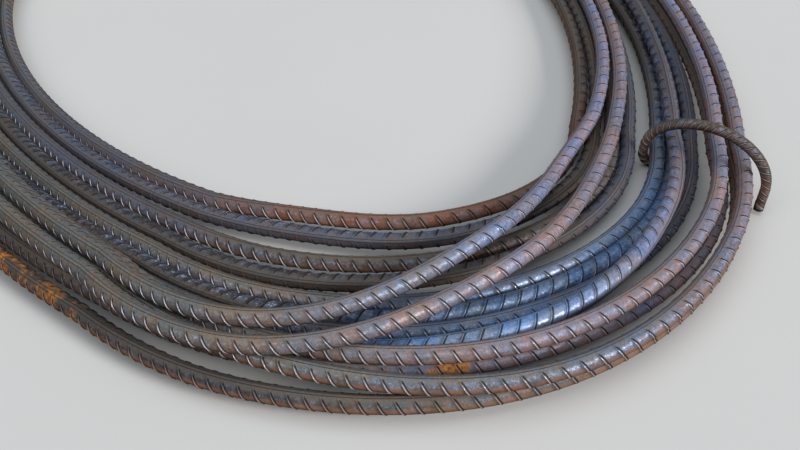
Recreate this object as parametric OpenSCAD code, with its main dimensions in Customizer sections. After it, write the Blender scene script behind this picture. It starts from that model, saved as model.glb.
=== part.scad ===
// Folded bundle of ribbed reinforcing bars.
// Every bar is one long length turned back on itself, so the bundle has a wide fold at one end
// and two straight legs lying side by side. Short offcuts bent round the bars hold it together.
// The legs point along +X, the fold is at the -X end and the ties rest on z = 0.

/* [Bar] */
// nominal diameter of every bar
bar_d = 12; // [10:0.5:14]
// length one bar was cut to before folding
bar_cut_l = 12000; // [9000:100:12000]
// number of flat sides drawn round a bar
bar_sides = 10; // [10:2:12]
// free space kept between two neighbouring bars
bar_gap = 0.55; // [0.5:0.05:1]

// hair line between the four stretches of a fold, and between a fold and the legs that go on from it
hair_gap = 0.1; // [0.05:0.05:0.3]

/* [Fold] */
// inner radius of the middle of the fold
crown_r = 207; // [200:1:220]
// turn of the middle of the fold to each side, in degrees
crown_turn = 50; // [48:1:52]
// radius of the two shoulders that follow it
shoulder_r = 518; // [500:2:540]
// how far each arm leans back in towards the other, in degrees
lean = 18; // [16:1:20]
// radius with which an arm straightens into its leg
throat_r = 1200; // [1000:50:1400]

/* [Ties] */
// diameter of the bent offcuts
tie_d = 8; // [6:0.5:8]
// number of flat sides drawn round an offcut
tie_sides = 8; // [8:2:12]
// free space between an offcut and the bars it holds
tie_gap = 0.5; // [0.3:0.1:0.8]
// inner radius of every corner bent into an offcut
tie_bend_r = 6; // [5.5:0.5:7]
// how far the two ends of a leg offcut lie apart along the bars
tie_pass = 10.5; // [10:0.5:14]
// length over which those two ends pass each other
tie_tail_l = 26; // [20:1:30]
// where the hook round the fold sits, counted in stretches from the middle of the fold
fold_tie_u = 0.88; // [0.87:0.01:0.9]
// how far the hook leans along the bars from its loose end to its foot
hook_lean = 26; // [20:1:28]
// free space between the loose end of the hook and the outmost bar
hook_slack = 8; // [5:0.5:9]
// where the hook goes down between the fourth and the fifth bar, as a share of the way
hook_share = 0.45; // [0.44:0.01:0.46]
// rise of the hook's arch above the second row of bars
hook_rise = 36; // [30:1:36]
// distance of the first leg offcut from where the legs begin to run straight
first_tie_l = 230; // [200:10:400]
// spacing of the leg offcuts
tie_step = 1600; // [1400:10:1650]
// number of leg offcuts
tie_count = 3; // [2:1:3]

/* [Lay of the bars] */
// where the lay of the bars is set, counted in stretches from the middle of the fold
stations = [-4, -2, -1.25, -0.6, 0, 0.6, 1.25, 2, 4];
// place of each bar outwards from the inmost one at those stations, as a share of the bar pitch
lane_shares = [
    [0, 0, -0.55, -1.4, -0.2, 0.5, -0.6, 0, 0],
    [0.56, 1, 0.5, 0.2, 1.45, 1.75, 0.45, 1, 0.56],
    [1.12, 2, 1.6, 2.35, 3.1, 3.2, 1.5, 2, 1.12],
    [1.68, 3, 2.65, 3.9, 4.4, 4.25, 2.6, 3, 1.68],
    [2.24, 4, 3.7, 5.2, 6.2, 6.15, 4.35, 4, 2.24],
    [2.8, 5, 4.7, 6.25, 7.25, 7.15, 5.45, 5, 2.8],
    [3.92, 7, 6.75, 8.35, 9.75, 7.75, 4.9, 5, 2.8],
    [4.48, 8, 7.75, 9.4, 10.75, 10.4, 7.65, 7, 3.92],
    [3.36, 6, 5.7, 7.3, 8.3, 8.2, 6.5, 6, 3.36],
    [5.04, 9, 8.85, 11.45, 12.7, 11.6, 8.7, 8, 4.48],
    [2.8, 5, 6.1, 8.9, 4.4, 0.75, 0.95, 1, 0.56],
    [3.92, 7, 7.4, 10.6, 6.85, 3.05, 2.05, 3, 1.68],
    [2.8, 5, 5.45, 8.95, 10.85, 10, 7.75, 7, 3.92],
    [3.92, 7, 6.55, 10.15, 12.95, 11.65, 9, 9.15, 5.04]
];
// height of each bar above the lowest row at those stations, as a share of the bar pitch
level_shares = [
    [0, 0, 0, 0, 0, 0, 0, 0, 0],
    [0.83, 0.83, 0, 0, 0, 0, 0, 0.83, 0.83],
    [0, 0, 0, 0, 0, 0, 0, 0, 0],
    [0.83, 0.83, 0, 0, 0, 0, 0, 0.83, 0.83],
    [0, 0, 0, 0, 0, 0, 0, 0, 0],
    [0.83, 0.83, 0, 0, 0, 0, 0, 0.83, 0.83],
    [0.83, 0.83, 0, 0, 0.8, 1.05, 1, 1.83, 1.83],
    [0, 0, 0, 0, 0, 0, 0, 0.83, 0.83],
    [0, 0, 0, 0, 0, 0, 0, 0, 0],
    [0.83, 0.83, 0, 0, 0, 0, 0, 0, 0],
    [2.83, 2.83, 2, 2, 2, 1, 1, 1.83, 1.83],
    [2.83, 2.83, 2, 2, 2, 1.3, 1, 1.83, 1.83],
    [1.83, 1.83, 1, 1, 1, 1, 1, 1.83, 1.83],
    [1.83, 1.83, 1, 1, 1, 1, 1, 0.83, 0.83]
];

/* [Steps along a bar] */
// straight pieces drawn along one side of the crown of the fold
crown_steps = 5; // [5:1:5]
// straight pieces drawn along a shoulder
shoulder_steps = 8; // [8:1:8]
// straight pieces drawn along an arm
arm_steps = 3; // [3:1:3]
// straight pieces drawn along a throat
throat_steps = 4; // [4:1:4]
// straight pieces drawn round a corner of an offcut
tie_steps = 3; // [3:1:4]
// straight pieces drawn along the arch of the hook
hook_steps = 12; // [12:1:12]

/* [Hidden] */
bar_count = len(lane_shares);
pitch = bar_d + bar_gap;
// a flat-sided bar has the same cross-section area as the round one
bar_ring_r = bar_d / 2 * sqrt(2 * PI / (bar_sides * sin(360 / bar_sides)));
tie_ring_r = tie_d / 2 * sqrt(2 * PI / (tie_sides * sin(360 / tie_sides)));
// an offcut lies on the floor with one of its flats
tie_mid_z = tie_ring_r * cos(180 / tie_sides);
row_z = tie_mid_z + tie_ring_r + tie_gap + bar_ring_r;
leg_half = pitch / 2;
// middle line of a bent corner
tie_corner_r = tie_bend_r + tie_d / 2;

// turn of a shoulder, past square by the lean
shoulder_turn = 90 - crown_turn + lean;
crown_x = crown_r * (1 - cos(crown_turn));
crown_y = crown_r * sin(crown_turn);
shoulder_x = crown_x + shoulder_r * (cos(crown_turn) - cos(90 + lean));
shoulder_y = crown_y + shoulder_r * (sin(90 + lean) - sin(crown_turn));
// the straight arm closes what the shoulder and the throat leave open
arm_l = (shoulder_y - throat_r * (1 - cos(lean)) - leg_half) / sin(lean);
arm_x = shoulder_x + arm_l * cos(lean);
arm_y = shoulder_y - arm_l * sin(lean);
first_tie_x = arm_x + throat_r * sin(lean) + first_tie_l;

// one half of the inmost route: forward, sideways and heading at u stretches from the crown
function half_route(u) =
    u <= 1 ? let (a = crown_turn * u)
        [crown_r * (1 - cos(a)), crown_r * sin(a), a]
    : u <= 2 ? let (a = crown_turn + shoulder_turn * (u - 1))
        [crown_x + shoulder_r * (cos(crown_turn) - cos(a)),
         crown_y + shoulder_r * (sin(a) - sin(crown_turn)), a]
    : u <= 3 ? let (l = arm_l * (u - 2))
        [shoulder_x + l * cos(lean), shoulder_y - l * sin(lean), 90 + lean]
    : let (a = lean * (4 - u))
        [arm_x + throat_r * (sin(lean) - sin(a)),
         arm_y - throat_r * (cos(a) - cos(lean)), 90 + a];

// the stretch between two stations that holds u, and how far along it u is
function span(u) = max([for (i = [0:len(stations) - 2]) if (u >= stations[i]) i]);
function held(u) = max(stations[0], min(stations[len(stations) - 1], u));
// a height changes with a smooth step from one station to the next
function rise(list, u) =
    let (v = held(u),
         k = span(v),
         t = (v - stations[k]) / (stations[k + 1] - stations[k]))
    list[k] + (list[k + 1] - list[k]) * t * t * (3 - 2 * t);
// a place sideways follows one flowing curve through all the stations
function slope(list, k) =
    k == 0 || k == len(list) - 1 ? 0
    : (list[k + 1] - list[k - 1]) / (stations[k + 1] - stations[k - 1]);
function drift(list, u) =
    let (v = held(u),
         k = span(v),
         w = stations[k + 1] - stations[k],
         t = (v - stations[k]) / w)
    list[k] * (2 * pow(t, 3) - 3 * t * t + 1)
    + list[k + 1] * (3 * t * t - 2 * pow(t, 3))
    + slope(list, k) * w * (pow(t, 3) - 2 * t * t + t)
    + slope(list, k + 1) * w * (pow(t, 3) - t * t);
function lane(i, u) = drift(lane_shares[i], u) * pitch;
function level(i, u) = rise(level_shares[i], u) * pitch;

// middle of bar i at signed stretch u, negative on the +Y side
function bar_point(i, u) =
    let (h = half_route(abs(u)), side = u < 0 ? 1 : -1, off = lane(i, u))
    [h[0] - off * cos(h[2]),
     side * (h[1] + off * sin(h[2])),
     row_z + level(i, u)];

half_steps = concat(
    [for (k = [1:crown_steps]) k / crown_steps],
    [for (k = [1:shoulder_steps]) 1 + k / shoulder_steps],
    [for (k = [1:arm_steps]) 2 + k / arm_steps],
    [for (k = [1:throat_steps]) 3 + k / throat_steps]);
all_steps = concat(
    [for (k = [len(half_steps) - 1:-1:0]) -half_steps[k]],
    [0],
    half_steps);

// where a fold is parted: at the two ends of its bow and in the middle of it
half_count = len(half_steps);
bow_steps = crown_steps + shoulder_steps;
fold_cuts = [
    1,
    1 + half_count - bow_steps,
    1 + half_count,
    1 + half_count + bow_steps,
    1 + 2 * half_count
];

function run_length(p, k = 0) =
    k >= len(p) - 1 ? 0 : norm(p[k + 1] - p[k]) + run_length(p, k + 1);

// the same cut length leaves each bar with its own leg length
function bar_line(i) =
    let (bend = [for (u = all_steps) bar_point(i, u)],
         leg_l = (bar_cut_l - run_length(bend)) / 2)
    concat([bend[0] + [leg_l, 0, 0]], bend, [bend[len(bend) - 1] + [leg_l, 0, 0]]);

bar_lines = [for (i = [0:bar_count - 1]) bar_line(i)];

// the bundle is centred on the middle of the box round its bars
reach_x = max([for (l = bar_lines) max(l[0][0], l[len(l) - 1][0])]);
fold_x = min([for (l = bar_lines) min([for (p = l) p[0]])]) - bar_ring_r;
side_max = max([for (l = bar_lines) max([for (p = l) p[1]])]) + bar_ring_r;
side_min = min([for (l = bar_lines) min([for (p = l) p[1]])]) - bar_ring_r;
centre = [(reach_x + fold_x) / 2, (side_max + side_min) / 2, 0];

function unit(v) = v / norm(v);
// flat-sided rings standing square to a line, with one flat face up
function ring(p, along, r, n) =
    let (side = unit(cross([0, 0, 1], along)), up = cross(along, side))
    [for (k = [0:n - 1]) let (a = (k + 0.5) * 360 / n)
        p + r * (sin(a) * side + cos(a) * up)];
function ring_across(p, along, r, n, first) =
    let (side = first, up = unit(cross(along, side)), flat = cross(up, along))
    [for (k = [0:n - 1]) let (a = (k + 0.5) * 360 / n)
        p + r * (sin(a) * flat + cos(a) * up)];
function along_line(l, k) =
    unit(l[min(k + 1, len(l) - 1)] - l[max(k - 1, 0)]);

function tube_faces(rings, n) = concat(
    [[for (k = [n - 1:-1:0]) k]],
    [for (j = [0:rings - 2]) for (k = [0:n - 1])
        [j * n + k, j * n + (k + 1) % n, (j + 1) * n + (k + 1) % n, (j + 1) * n + k]],
    [[for (k = [0:n - 1]) (rings - 1) * n + k]]);

// the stretch of a line from point a to point b as a flat-sided bar, cut short at its two ends
module sweep_bar(l, a, b, first_cut, last_cut) {
    rings = [for (k = [a:b])
        let (ahead = along_line(l, k), cut = k == a ? first_cut : k == b ? -last_cut : 0)
        ring(l[k] + cut * ahead, ahead, bar_ring_r, bar_sides)];
    polyhedron(
        points = [for (r = rings) for (p = r) p - centre],
        faces = tube_faces(b - a + 1, bar_sides),
        convexity = 8);
}

// rounded corners laid into a run of straight pieces, given in the plane across the bars
function rounded(c, r) = concat(
    [c[0]],
    [for (k = [1:len(c) - 2])
        let (a = unit(c[k] - c[k - 1]),
             b = unit(c[k + 1] - c[k]),
             turn = acos(max(-1, min(1, a * b))),
             cut = r * tan(turn / 2),
             hand = a[0] * b[1] - a[1] * b[0] > 0 ? 1 : -1,
             mid = c[k] - a * cut + hand * r * [-a[1], a[0]])
        for (s = [0:tie_steps])
            let (g = hand * turn * s / tie_steps, o = -hand * r * [-a[1], a[0]])
            mid + [o[0] * cos(g) - o[1] * sin(g), o[0] * sin(g) + o[1] * cos(g)]],
    [c[len(c) - 1]]);

// an offcut bent round the bars: its line across them, place and heading along the route
module bend_tie(flat, base, forward, sideways, pass) {
    last = len(flat) - 1;
    l = [for (k = [0:last])
        base + flat[k][0] * sideways + [0, 0, flat[k][1]] + forward * pass * (k / last - 0.5)];
    rings = [for (k = [0:last]) ring_across(l[k], along_line(l, k), tie_ring_r, tie_sides, forward)];
    polyhedron(
        points = [for (r = rings) for (p = r) p - centre],
        faces = tube_faces(last + 1, tie_sides),
        convexity = 8);
}

// how far an offcut's middle stands off the middle of a bar it touches
tie_off = bar_ring_r + tie_gap + tie_ring_r;

// the hook arches over the outer bars, with one end loose and the other turned in under them
module fold_tie() {
    u = fold_tie_u;
    h = half_route(u);
    forward = [sin(h[2]), -cos(h[2]), 0];
    sideways = [-cos(h[2]), -sin(h[2]), 0];
    base = [h[0], -h[1], 0];
    inner = lane(3, u) + (lane(4, u) - lane(3, u)) * hook_share;
    outer = max(lane(9, u), lane(13, u)) + tie_off + hook_slack;
    half_w = (outer - inner) / 2;
    spring_z = row_z + leg_half;
    arch = [for (k = [0:hook_steps - 1])
        let (a = 180 * k / hook_steps)
        [inner + half_w * (1 + cos(a)), spring_z + hook_rise * sin(a)]];
    foot = [[inner, spring_z], [inner, tie_mid_z], [lane(6, u), tie_mid_z]];
    flat = concat([[outer, tie_mid_z]], arch, rounded(foot, tie_corner_r));
    bend_tie(flat, base, forward, sideways, hook_lean);
}

module leg_tie(x) {
    far = stations[len(stations) - 1];
    outer = lane(13, far) + leg_half + tie_off;
    high = row_z + level(10, -far) + tie_off;
    low = row_z + level(10, far) + tie_off;
    edge_z = row_z + level(13, far) + pitch / 2;
    high_in = leg_half + lane(10, -far) - pitch;
    corners = [
        [outer / 2, tie_mid_z],
        [outer, tie_mid_z],
        [outer, edge_z],
        [outer - pitch, low],
        [-high_in, high],
        [pitch - outer, high],
        [-outer, edge_z],
        [-outer, tie_mid_z],
        [outer / 2 + tie_tail_l, tie_mid_z]
    ];
    bend_tie(rounded(corners, tie_corner_r), [x, 0, 0], [1, 0, 0], [0, -1, 0], tie_pass);
}

// a straight leg from where a fold ends to the cut end of the bar
module leg(from, to) {
    sweep_bar([from, to], 0, 1, hair_gap, 0);
}

function bar_colour(i) =
    [0.36 + 0.02 * (i % 4), 0.31 + 0.01 * (i % 3), 0.31 + 0.02 * (i % 5)];

// the folded stretch of a bar: one arm, the two halves of the bow, and the other arm
module fold(i) {
    last = len(fold_cuts) - 2;
    color(bar_colour(i))
        for (k = [0:last])
            sweep_bar(bar_lines[i], fold_cuts[k], fold_cuts[k + 1],
                k == 0 ? 0 : hair_gap / 2,
                k == last ? 0 : hair_gap / 2);
}

// the two straight legs of the same bar, which go on from the fold without a break
module legs(i) {
    l = bar_lines[i];
    color(bar_colour(i)) {
        leg(l[1], l[0]);
        leg(l[len(l) - 2], l[len(l) - 1]);
    }
}

module tie(i) {
    color([0.27, 0.22, 0.2])
        if (i == 0) {
            fold_tie();
        } else {
            leg_tie(first_tie_x + (i - 1) * tie_step);
        }
}

function two(i) = i < 10 ? str("0", i) : str(i);
fold_names = [for (i = [1:bar_count]) str("bar_", two(i), "_fold")];
leg_names = [for (i = [1:bar_count]) str("bar_", two(i), "_legs")];
tie_names = [for (i = [1:tie_count + 1]) str("tie_", two(i))];

for (i = [0:bar_count - 1]) {
    fold(i);
    legs(i);
}
for (i = [0:tie_count]) {
    tie(i);
}
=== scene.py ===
"""Folded bundle of ribbed reinforcing bars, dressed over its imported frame.

Every bar is one ribbed length turned back on itself. Its middle line is worked out from the same
sizes and shares as the solids, and its skin is a ring carried along that line.
"""
import logging
from dataclasses import dataclass, field
from enum import Enum

import bpy
import numpy as np
from mathutils import Matrix, Vector


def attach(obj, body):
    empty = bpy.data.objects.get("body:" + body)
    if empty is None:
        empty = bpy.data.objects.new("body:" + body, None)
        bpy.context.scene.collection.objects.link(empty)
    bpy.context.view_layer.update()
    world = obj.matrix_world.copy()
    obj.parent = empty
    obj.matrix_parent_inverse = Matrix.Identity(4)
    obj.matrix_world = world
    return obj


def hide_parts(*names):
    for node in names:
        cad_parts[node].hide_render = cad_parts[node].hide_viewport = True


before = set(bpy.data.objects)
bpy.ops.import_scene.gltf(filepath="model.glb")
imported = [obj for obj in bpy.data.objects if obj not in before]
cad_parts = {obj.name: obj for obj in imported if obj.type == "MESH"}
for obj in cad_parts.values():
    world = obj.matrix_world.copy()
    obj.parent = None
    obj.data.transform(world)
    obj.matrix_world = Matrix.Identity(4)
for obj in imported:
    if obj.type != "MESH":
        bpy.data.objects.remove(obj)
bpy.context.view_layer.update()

LOG = logging.getLogger("bundle")

MM = 0.001
PHOTO_WIDTH_PX = 800
SENSOR_MM = 36.0


# The shader graph.

class Value:
    """A number socket that can stand in sums: each operator adds the Math node that works it out."""

    def __init__(self, graph: "Graph", socket: bpy.types.NodeSocket) -> None:
        """Hold a socket of a graph."""
        self.graph = graph
        self.socket = socket

    def _math(self, operation: str, *terms: object) -> "Value":
        """Add one Math node.

        Args:
            operation: the node's operation.
            terms: its numbers or values.

        Returns:
            The node's result.
        """
        node = self.graph.add("ShaderNodeMath", {"operation": operation}, dict(enumerate(terms)))
        return Value(self.graph, node.outputs[0])

    def __add__(self, other: object) -> "Value":
        """Sum."""
        return self._math("ADD", self, other)

    __radd__ = __add__

    def __sub__(self, other: object) -> "Value":
        """Difference."""
        return self._math("SUBTRACT", self, other)

    def __rsub__(self, other: object) -> "Value":
        """Difference the other way round."""
        return self._math("SUBTRACT", other, self)

    def __mul__(self, other: object) -> "Value":
        """Product."""
        return self._math("MULTIPLY", self, other)

    __rmul__ = __mul__

    def fraction(self) -> "Value":
        """What is left above the whole number below."""
        return self._math("FRACT", self)

    def size(self) -> "Value":
        """The number without its sign."""
        return self._math("ABSOLUTE", self)

    def larger(self, other: object) -> "Value":
        """The larger of two numbers."""
        return self._math("MAXIMUM", self, other)

    def ramp(self, low: float, high: float) -> "Value":
        """Smooth step.

        Args:
            low: number at which the result is 0.
            high: number at which the result is 1; it may be the smaller one.

        Returns:
            0 to 1, held outside the two.
        """
        node = self.graph.add("ShaderNodeMapRange", {"interpolation_type": "SMOOTHSTEP", "clamp": True},
                              {"Value": self, "From Min": low, "From Max": high})
        return Value(self.graph, node.outputs["Result"])

    def near(self, middle: float, edge: float, core: float) -> "Value":
        """1 within core of the middle, 0 beyond edge of it, and smooth between the two."""
        return (self - middle).size().ramp(edge, core)


class Graph:
    """The nodes of a material or of the sky, with one method that adds any of them."""

    def __init__(self, owner: bpy.types.Material | bpy.types.World) -> None:
        """Start with no nodes.

        Args:
            owner: the material or the sky.
        """
        owner.use_nodes = True
        self.tree = owner.node_tree
        self.tree.nodes.clear()

    def add(self, kind: str, settings: dict, inputs: dict) -> bpy.types.Node:
        """Add a node.

        Args:
            kind: Blender's name of the node type.
            settings: attributes of the node, set before its sockets.
            inputs: socket name or number to a plain value, a socket or a Value.

        Returns:
            The node.
        """
        node = self.tree.nodes.new(kind)
        for key, value in settings.items():
            setattr(node, key, value)
        for key, value in inputs.items():
            source = value.socket if isinstance(value, Value) else value
            if isinstance(source, bpy.types.NodeSocket):
                self.tree.links.new(source, node.inputs[key])
            else:
                node.inputs[key].default_value = source
        return node

    def number(self, name: str) -> Value:
        """A number kept on the mesh's points under a name."""
        return Value(self, self.add("ShaderNodeAttribute", {"attribute_name": name}, {}).outputs["Fac"])

    def colour(self, name: str) -> bpy.types.NodeSocket:
        """A colour kept on the mesh's points under a name."""
        return self.add("ShaderNodeAttribute", {"attribute_name": name}, {}).outputs["Color"]

    def place(self) -> bpy.types.NodeSocket:
        """Object coordinates."""
        return self.add("ShaderNodeTexCoord", {}, {}).outputs["Object"]

    def vector(self, x: object, y: object, z: object) -> bpy.types.NodeSocket:
        """A vector of three numbers or values."""
        return self.add("ShaderNodeCombineXYZ", {}, {0: x, 1: y, 2: z}).outputs[0]

    def noise(self, where: object, scale: float, detail: float = 3.0, rough: float = 0.55) -> Value:
        """Cloudy noise.

        Args:
            where: coordinates it is read at.
            scale: clouds per unit.
            detail: how many finer layers it has.
            rough: share of each finer layer.

        Returns:
            About 0.25 to 0.75 round 0.5.
        """
        node = self.add("ShaderNodeTexNoise", {}, {"Vector": where, "Scale": scale, "Detail": detail,
                                                   "Roughness": rough})
        return Value(self, node.outputs["Fac"])

    def mix(self, share: object, first: object, second: object, blend: str = "MIX") -> bpy.types.NodeSocket:
        """Blend two colours.

        Args:
            share: 0 to 1 of the second.
            first: colour or colour socket.
            second: colour or colour socket.
            blend: blend type of the Mix node.

        Returns:
            The blended colour.
        """
        return self.add("ShaderNodeMix", {"data_type": "RGBA", "blend_type": blend, "clamp_factor": True},
                        {0: share, 6: first, 7: second}).outputs[2]

    def times(self, first: object, second: object) -> bpy.types.NodeSocket:
        """One colour multiplied by another."""
        return self.mix(1.0, first, second, "MULTIPLY")


def srgb(red: int, green: int, blue: int) -> tuple[float, float, float, float]:
    """Colour from the 0 to 255 numbers of a colour picker.

    Args:
        red: red part.
        green: green part.
        blue: blue part.

    Returns:
        Linear colour with an alpha of 1.
    """
    part = np.array([red, green, blue]) / 255.0
    line = np.where(part <= 0.04045, part / 12.92, ((part + 0.055) / 1.055) ** 2.4)
    return (*line.tolist(), 1.0)


class Tint(Enum):
    """Colours that the skin of hot-rolled steel takes."""

    EARTH = srgb(117, 113, 104)
    BROWN = srgb(124, 115, 107)
    UMBER = srgb(92, 78, 66)
    ROSE = srgb(162, 146, 154)
    MAUVE = srgb(152, 138, 148)
    LILAC = srgb(152, 146, 170)
    STEEL = srgb(98, 124, 158)
    SKY = srgb(126, 154, 192)
    HAZE = srgb(136, 146, 174)
    FROST = srgb(114, 119, 128)
    SLATE = srgb(84, 88, 104)
    RUSSET = srgb(126, 88, 68)
    COAL = srgb(62, 56, 54)

    @classmethod
    def row(cls, names: str) -> tuple["Tint", ...]:
        """The tints named in a row of words."""
        return tuple(cls[name] for name in names.split())


# How the bars lie. Two rows of heights come back: on the floor all along, and raised on both legs.

LOWEST = (0, 0, 0, 0, 0, 0, 0, 0, 0)
ON_THE_LEGS = (0.83, 0.83, 0, 0, 0, 0, 0, 0.83, 0.83)


@dataclass(frozen=True)
class Route:
    """The inmost route of the fold, in metres: crown, shoulder, straight arm, throat, leg."""

    crown_r: float = 207 * MM
    crown_turn: float = np.radians(50)
    shoulder_r: float = 518 * MM
    lean: float = np.radians(18)
    throat_r: float = 1200 * MM
    leg_half: float = 12.55 * MM / 2

    @property
    def shoulder_start(self) -> np.ndarray:
        """Where the crown goes over into the shoulder."""
        return self.crown_r * np.array([1 - np.cos(self.crown_turn), np.sin(self.crown_turn)])

    @property
    def arm_start(self) -> np.ndarray:
        """Where the shoulder goes over into the straight arm."""
        end = np.pi / 2 + self.lean
        return self.shoulder_start + self.shoulder_r * np.array(
            [np.cos(self.crown_turn) - np.cos(end), np.sin(end) - np.sin(self.crown_turn)])

    @property
    def arm_l(self) -> float:
        """Length of the straight arm, which closes what the arcs leave open."""
        left = self.arm_start[1] - self.throat_r * (1 - np.cos(self.lean)) - self.leg_half
        return left / np.sin(self.lean)

    @property
    def throat_start(self) -> np.ndarray:
        """Where the arm goes over into the throat."""
        return self.arm_start + self.arm_l * np.array([np.cos(self.lean), -np.sin(self.lean)])

    @property
    def leg_x(self) -> float:
        """How far forward the legs begin to run straight."""
        return float(self.throat_start[0] + self.throat_r * np.sin(self.lean))

    def half(self, u: np.ndarray) -> tuple[np.ndarray, np.ndarray, np.ndarray]:
        """One half of the route, arc by arc.

        Args:
            u: stretches from the crown, 0 to 4.

        Returns:
            Forward and sideways place in metres and the heading in radians.
        """
        crown = self.crown_turn * u
        square = np.pi / 2 + self.lean
        shoulder = self.crown_turn + (square - self.crown_turn) * (u - 1)
        run = self.arm_l * (u - 2)
        left = self.lean * (4 - u)
        (sx, sy), (ax, ay), (tx, ty) = self.shoulder_start, self.arm_start, self.throat_start
        in_arc = [u <= 1, u <= 2, u <= 3]
        x = np.select(in_arc, [
            self.crown_r * (1 - np.cos(crown)),
            sx + self.shoulder_r * (np.cos(self.crown_turn) - np.cos(shoulder)),
            ax + run * np.cos(self.lean)], tx + self.throat_r * (np.sin(self.lean) - np.sin(left)))
        y = np.select(in_arc, [
            self.crown_r * np.sin(crown),
            sy + self.shoulder_r * (np.sin(shoulder) - np.sin(self.crown_turn)),
            ay - run * np.sin(self.lean)], ty - self.throat_r * (np.cos(left) - np.cos(self.lean)))
        heading = np.select(in_arc, [crown, shoulder, np.full_like(u, square)], np.pi / 2 + left)
        return x, y, heading


@dataclass(frozen=True)
class Lay:
    """Where each bar lies beside and above the route, at a few stations along it."""

    route: Route = field(default_factory=Route)
    bar_d: float = 12 * MM
    pitch: float = 12.55 * MM
    bar_cut_l: float = 12.0
    bar_sides: int = 10
    tie_d: float = 8 * MM
    tie_sides: int = 8
    tie_gap: float = 0.5 * MM
    stations: tuple = (-4, -2, -1.25, -0.6, 0, 0.6, 1.25, 2, 4)
    steps: tuple = (5, 8, 3, 4)
    lanes: tuple = (
        (0, 0, -0.55, -1.4, -0.2, 0.5, -0.6, 0, 0),
        (0.56, 1, 0.5, 0.2, 1.45, 1.75, 0.45, 1, 0.56),
        (1.12, 2, 1.6, 2.35, 3.1, 3.2, 1.5, 2, 1.12),
        (1.68, 3, 2.65, 3.9, 4.4, 4.25, 2.6, 3, 1.68),
        (2.24, 4, 3.7, 5.2, 6.2, 6.15, 4.35, 4, 2.24),
        (2.8, 5, 4.7, 6.25, 7.25, 7.15, 5.45, 5, 2.8),
        (3.92, 7, 6.75, 8.35, 9.75, 7.75, 4.9, 5, 2.8),
        (4.48, 8, 7.75, 9.4, 10.75, 10.4, 7.65, 7, 3.92),
        (3.36, 6, 5.7, 7.3, 8.3, 8.2, 6.5, 6, 3.36),
        (5.04, 9, 8.85, 11.45, 12.7, 11.6, 8.7, 8, 4.48),
        (2.8, 5, 6.1, 8.9, 4.4, 0.75, 0.95, 1, 0.56),
        (3.92, 7, 7.4, 10.6, 6.85, 3.05, 2.05, 3, 1.68),
        (2.8, 5, 5.45, 8.95, 10.85, 10, 7.75, 7, 3.92),
        (3.92, 7, 6.55, 10.15, 12.95, 11.65, 9, 9.15, 5.04),
    )
    levels: tuple = (
        *(LOWEST, ON_THE_LEGS) * 3,
        (0.83, 0.83, 0, 0, 0.8, 1.05, 1, 1.83, 1.83),
        (0, 0, 0, 0, 0, 0, 0, 0.83, 0.83),
        LOWEST,
        (0.83, 0.83, 0, 0, 0, 0, 0, 0, 0),
        (2.83, 2.83, 2, 2, 2, 1, 1, 1.83, 1.83),
        (2.83, 2.83, 2, 2, 2, 1.3, 1, 1.83, 1.83),
        (1.83, 1.83, 1, 1, 1, 1, 1, 1.83, 1.83),
        (1.83, 1.83, 1, 1, 1, 1, 1, 0.83, 0.83),
    )

    @staticmethod
    def ring_r(size: float, sides: int) -> float:
        """Corner radius of a flat-sided bar with the area of the round one."""
        return size / 2 * np.sqrt(2 * np.pi / (sides * np.sin(2 * np.pi / sides)))

    @property
    def bar_ring_r(self) -> float:
        """Corner radius of a bar's solid."""
        return self.ring_r(self.bar_d, self.bar_sides)

    @property
    def tie_ring_r(self) -> float:
        """Corner radius of an offcut's solid."""
        return self.ring_r(self.tie_d, self.tie_sides)

    @property
    def tie_mid_z(self) -> float:
        """Height of an offcut's middle line where it lies on the floor."""
        return self.tie_ring_r * np.cos(np.pi / self.tie_sides)

    @property
    def row_z(self) -> float:
        """Height of the middle line of the lowest row of bars."""
        return self.tie_mid_z + self.tie_ring_r + self.tie_gap + self.bar_ring_r

    def _between(self, u: np.ndarray) -> tuple[np.ndarray, np.ndarray, np.ndarray]:
        """Find the two stations round each place.

        Args:
            u: signed stretches from the crown.

        Returns:
            Index of the station below, width of the gap and the share of it passed.
        """
        at = np.array(self.stations, float)
        held = np.clip(u, at[0], at[-1])
        k = np.clip(np.searchsorted(at, held, side="right") - 1, 0, len(at) - 2)
        width = at[k + 1] - at[k]
        return k, width, (held - at[k]) / width

    def lane(self, bar: int, u: np.ndarray) -> np.ndarray:
        """Place outwards of the route.

        One cubic flows through all the stations: value at each, slope from its two neighbours.

        Args:
            bar: index of the bar.
            u: signed stretches from the crown.

        Returns:
            Distance in metres.
        """
        at, share = np.array(self.stations, float), np.array(self.lanes[bar], float)
        slope = np.zeros_like(share)
        slope[1:-1] = (share[2:] - share[:-2]) / (at[2:] - at[:-2])
        k, w, t = self._between(u)
        flow = (share[k] * (2 * t**3 - 3 * t**2 + 1) + share[k + 1] * (3 * t**2 - 2 * t**3)
                + slope[k] * w * (t**3 - 2 * t**2 + t) + slope[k + 1] * w * (t**3 - t**2))
        return flow * self.pitch

    def level(self, bar: int, u: np.ndarray) -> np.ndarray:
        """Height above the lowest row, with a smooth step from station to station.

        Args:
            bar: index of the bar.
            u: signed stretches from the crown.

        Returns:
            Height in metres.
        """
        share = np.array(self.levels[bar], float)
        k, _, t = self._between(u)
        return (share[k] + (share[k + 1] - share[k]) * t * t * (3 - 2 * t)) * self.pitch

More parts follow.
